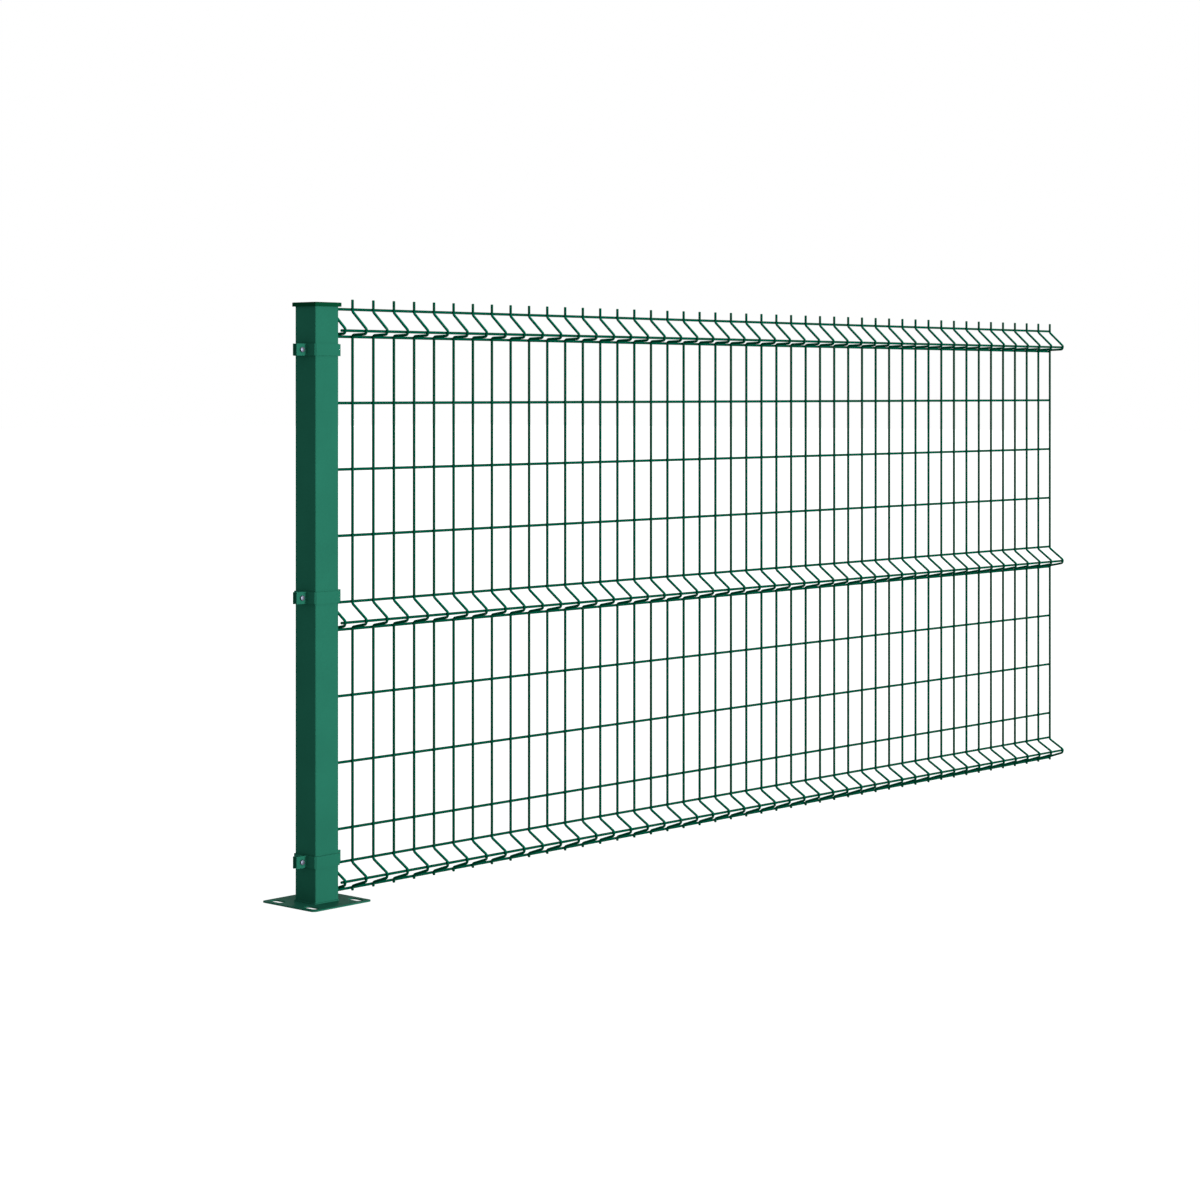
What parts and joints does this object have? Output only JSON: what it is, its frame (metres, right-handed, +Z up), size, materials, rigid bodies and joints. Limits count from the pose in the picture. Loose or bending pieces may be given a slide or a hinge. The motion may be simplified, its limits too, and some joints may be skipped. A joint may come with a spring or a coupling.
{
  "type": "welded mesh fence panel with post",
  "caption": "Folded welded wire mesh fence panel clamped to a square bolt-down post, powder coated in dark green.",
  "frame": {"origin": "middle of the base plate's underside, on the ground", "axes": "+Z up; +X along the panel, away from the post; the folds of the mesh point to -Y"},
  "size_m": [2.8868, 0.163, 1.2579],
  "materials": {
    "green_coating": "satin dark green powder coat",
    "coated_wire": "satin dark green coat on welded steel wire",
    "cap_plastic": "matt dark green moulded plastic"
  },
  "bodies": {
    "root": {"base_plate": "green_coating", "post": "green_coating", "foot_weld": "green_coating", "clamp_front_low": "green_coating", "clamp_rear_low": "green_coating", "clamp_front_mid": "green_coating", "clamp_rear_mid": "green_coating", "clamp_front_high": "green_coating", "clamp_rear_high": "green_coating", "mesh_upper": "coated_wire", "mesh_middle_fold": "coated_wire", "mesh_lower": "coated_wire", "post_cap": "cap_plastic"}
  },
  "joints": []
}
